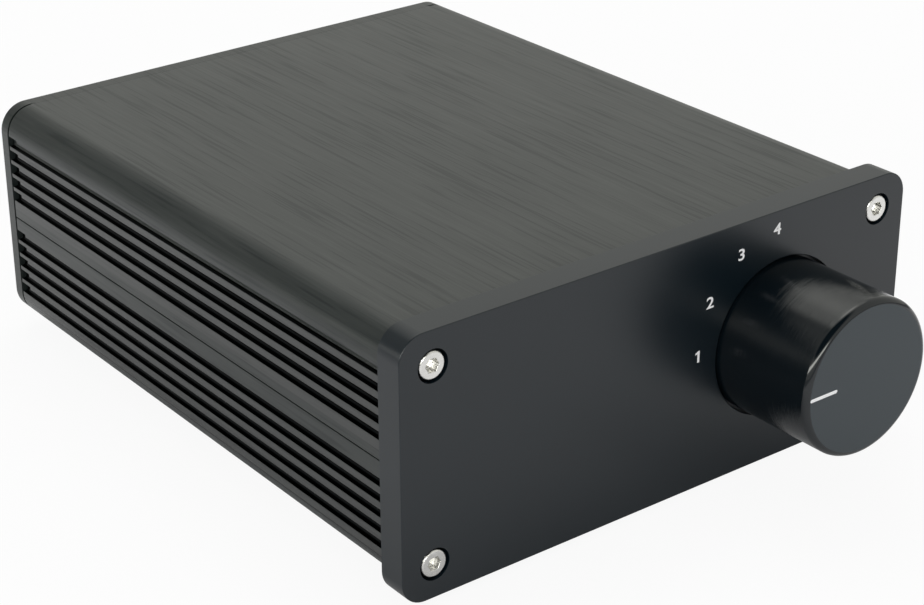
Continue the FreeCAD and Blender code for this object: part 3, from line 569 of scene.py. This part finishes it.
floor_mesh = bmesh.new()
bmesh.ops.create_grid(floor_mesh, x_segments=1, y_segments=1, size=4)
floor_data = bpy.data.meshes.new("floor")
floor_mesh.to_mesh(floor_data)
floor_mesh.free()
floor = bpy.data.objects.new("floor", floor_data)
bpy.context.scene.collection.objects.link(floor)
floor_material = bpy.data.materials.new("pale floor")
floor_material.use_nodes = True
floor_tree = floor_material.node_tree
ground = Room(floor_tree)
matt = floor_tree.nodes["Principled BSDF"]
matt.inputs["Roughness"].default_value = 0.9
matt.inputs["Specular IOR Level"].default_value = 0.0
glow = ground.node("Emission", None, {"Color": (1, 1, 1, 1), "Strength": 1.0})
# in gloss only, the floor shows painted light: a painted glow in a ring round the object, and painted shade
# far away and in a round patch at the left
place = ground.node("TexCoord", out="Object")
patch_middle = (-0.36, 0.0, 0.0)
from_middle = ground.node("VectorMath", {"operation": "LENGTH"}, {0: place}, out="Value")
from_patch = ground.node("VectorMath", {"operation": "DISTANCE"}, {0: place, 1: patch_middle}, out="Value")
painted_gloss_shade = ground.math("MAXIMUM", ground.ramp(from_middle * 2, (0.5, 0.0), (0.8, 1.0)),
                  ground.ramp(from_patch * 2, (0.38, 1.0), (0.54, 0.0)))
ring = ground.ramp(from_middle * 5, (0.3, 0.0), (0.47, 0.3), (0.7, 1.0)) * (1 - painted_gloss_shade * 0.9)
mirrored = ground.rays("Glossy")
# painted shade: for glossy rays only, the floor's pale colour is darkened far away and in the patch at the
# left
floor_colour_and_gloss_shade = ground.blend(mirrored * painted_gloss_shade, grey(0.85), grey(0.3))
floor_tree.links.new(floor_colour_and_gloss_shade.socket, matt.inputs["Base Color"])
# painted glow: glossy rays see part of the floor as emission, in the ring round the object
share = ground.rays("Camera", "Transmission") * 0.92 + mirrored * ring
mix = ground.node("MixShader", None, {0: share, 1: Field(ground, matt.outputs[0]), 2: glow})
floor_tree.links.new(mix.socket, floor_tree.nodes["Material Output"].inputs["Surface"])
floor_data.materials.append(floor_material)


def lamp(name, azimuth, elevation, width, height, level):
    """A soft lamp 0.9 m away that gives a white surface facing it the level."""
    away = 0.9
    way = direction(azimuth, elevation)
    light = bpy.data.lights.new(name, "AREA")
    light.shape = "RECTANGLE"
    light.size = width
    light.size_y = height
    light.energy = level * math.pi ** 2 * away ** 2
    holder = bpy.data.objects.new(name, light)
    holder.matrix_world = (Matrix.Translation(way * away + Vector((0, 0, 0.02)))
                           @ (-way).to_track_quat("-Z", "Y").to_matrix().to_4x4())
    holder.visible_glossy = False
    bpy.context.scene.collection.objects.link(holder)


lamp("high lamp", 30, 68, 0.55, 0.55, 0.35)
lamp("long lamp", -130, 19, 1.2, 0.1, 0.45)


# Camera: where the photograph was taken from and how it was framed, found by fitting the edges of the case,
# the plate and the knob.
turn, drop, tilt = (math.radians(a) for a in (35.285, 24.627, -1.223))
standpoint = Vector((-0.20646, -0.27170, 0.17870))
ahead = Vector((math.sin(turn) * math.cos(drop), math.cos(turn) * math.cos(drop), -math.sin(drop)))
sideways = Vector((math.cos(turn), -math.sin(turn), 0))
above = sideways.cross(ahead)
right = sideways * math.cos(tilt) + above * math.sin(tilt)
top = above * math.cos(tilt) - sideways * math.sin(tilt)
camera_data = bpy.data.cameras.new("camera")
camera_data.sensor_width = 36
camera_data.lens = 87.105
camera_data.shift_x = 0.09188
camera_data.shift_y = -0.04199
camera = bpy.data.objects.new("camera", camera_data)
camera.matrix_world = Matrix.Translation(standpoint) @ Matrix((right, top, -ahead)).transposed().to_4x4()
bpy.context.scene.collection.objects.link(camera)
bpy.context.scene.camera = camera
bpy.context.scene.view_settings.view_transform = "Standard"
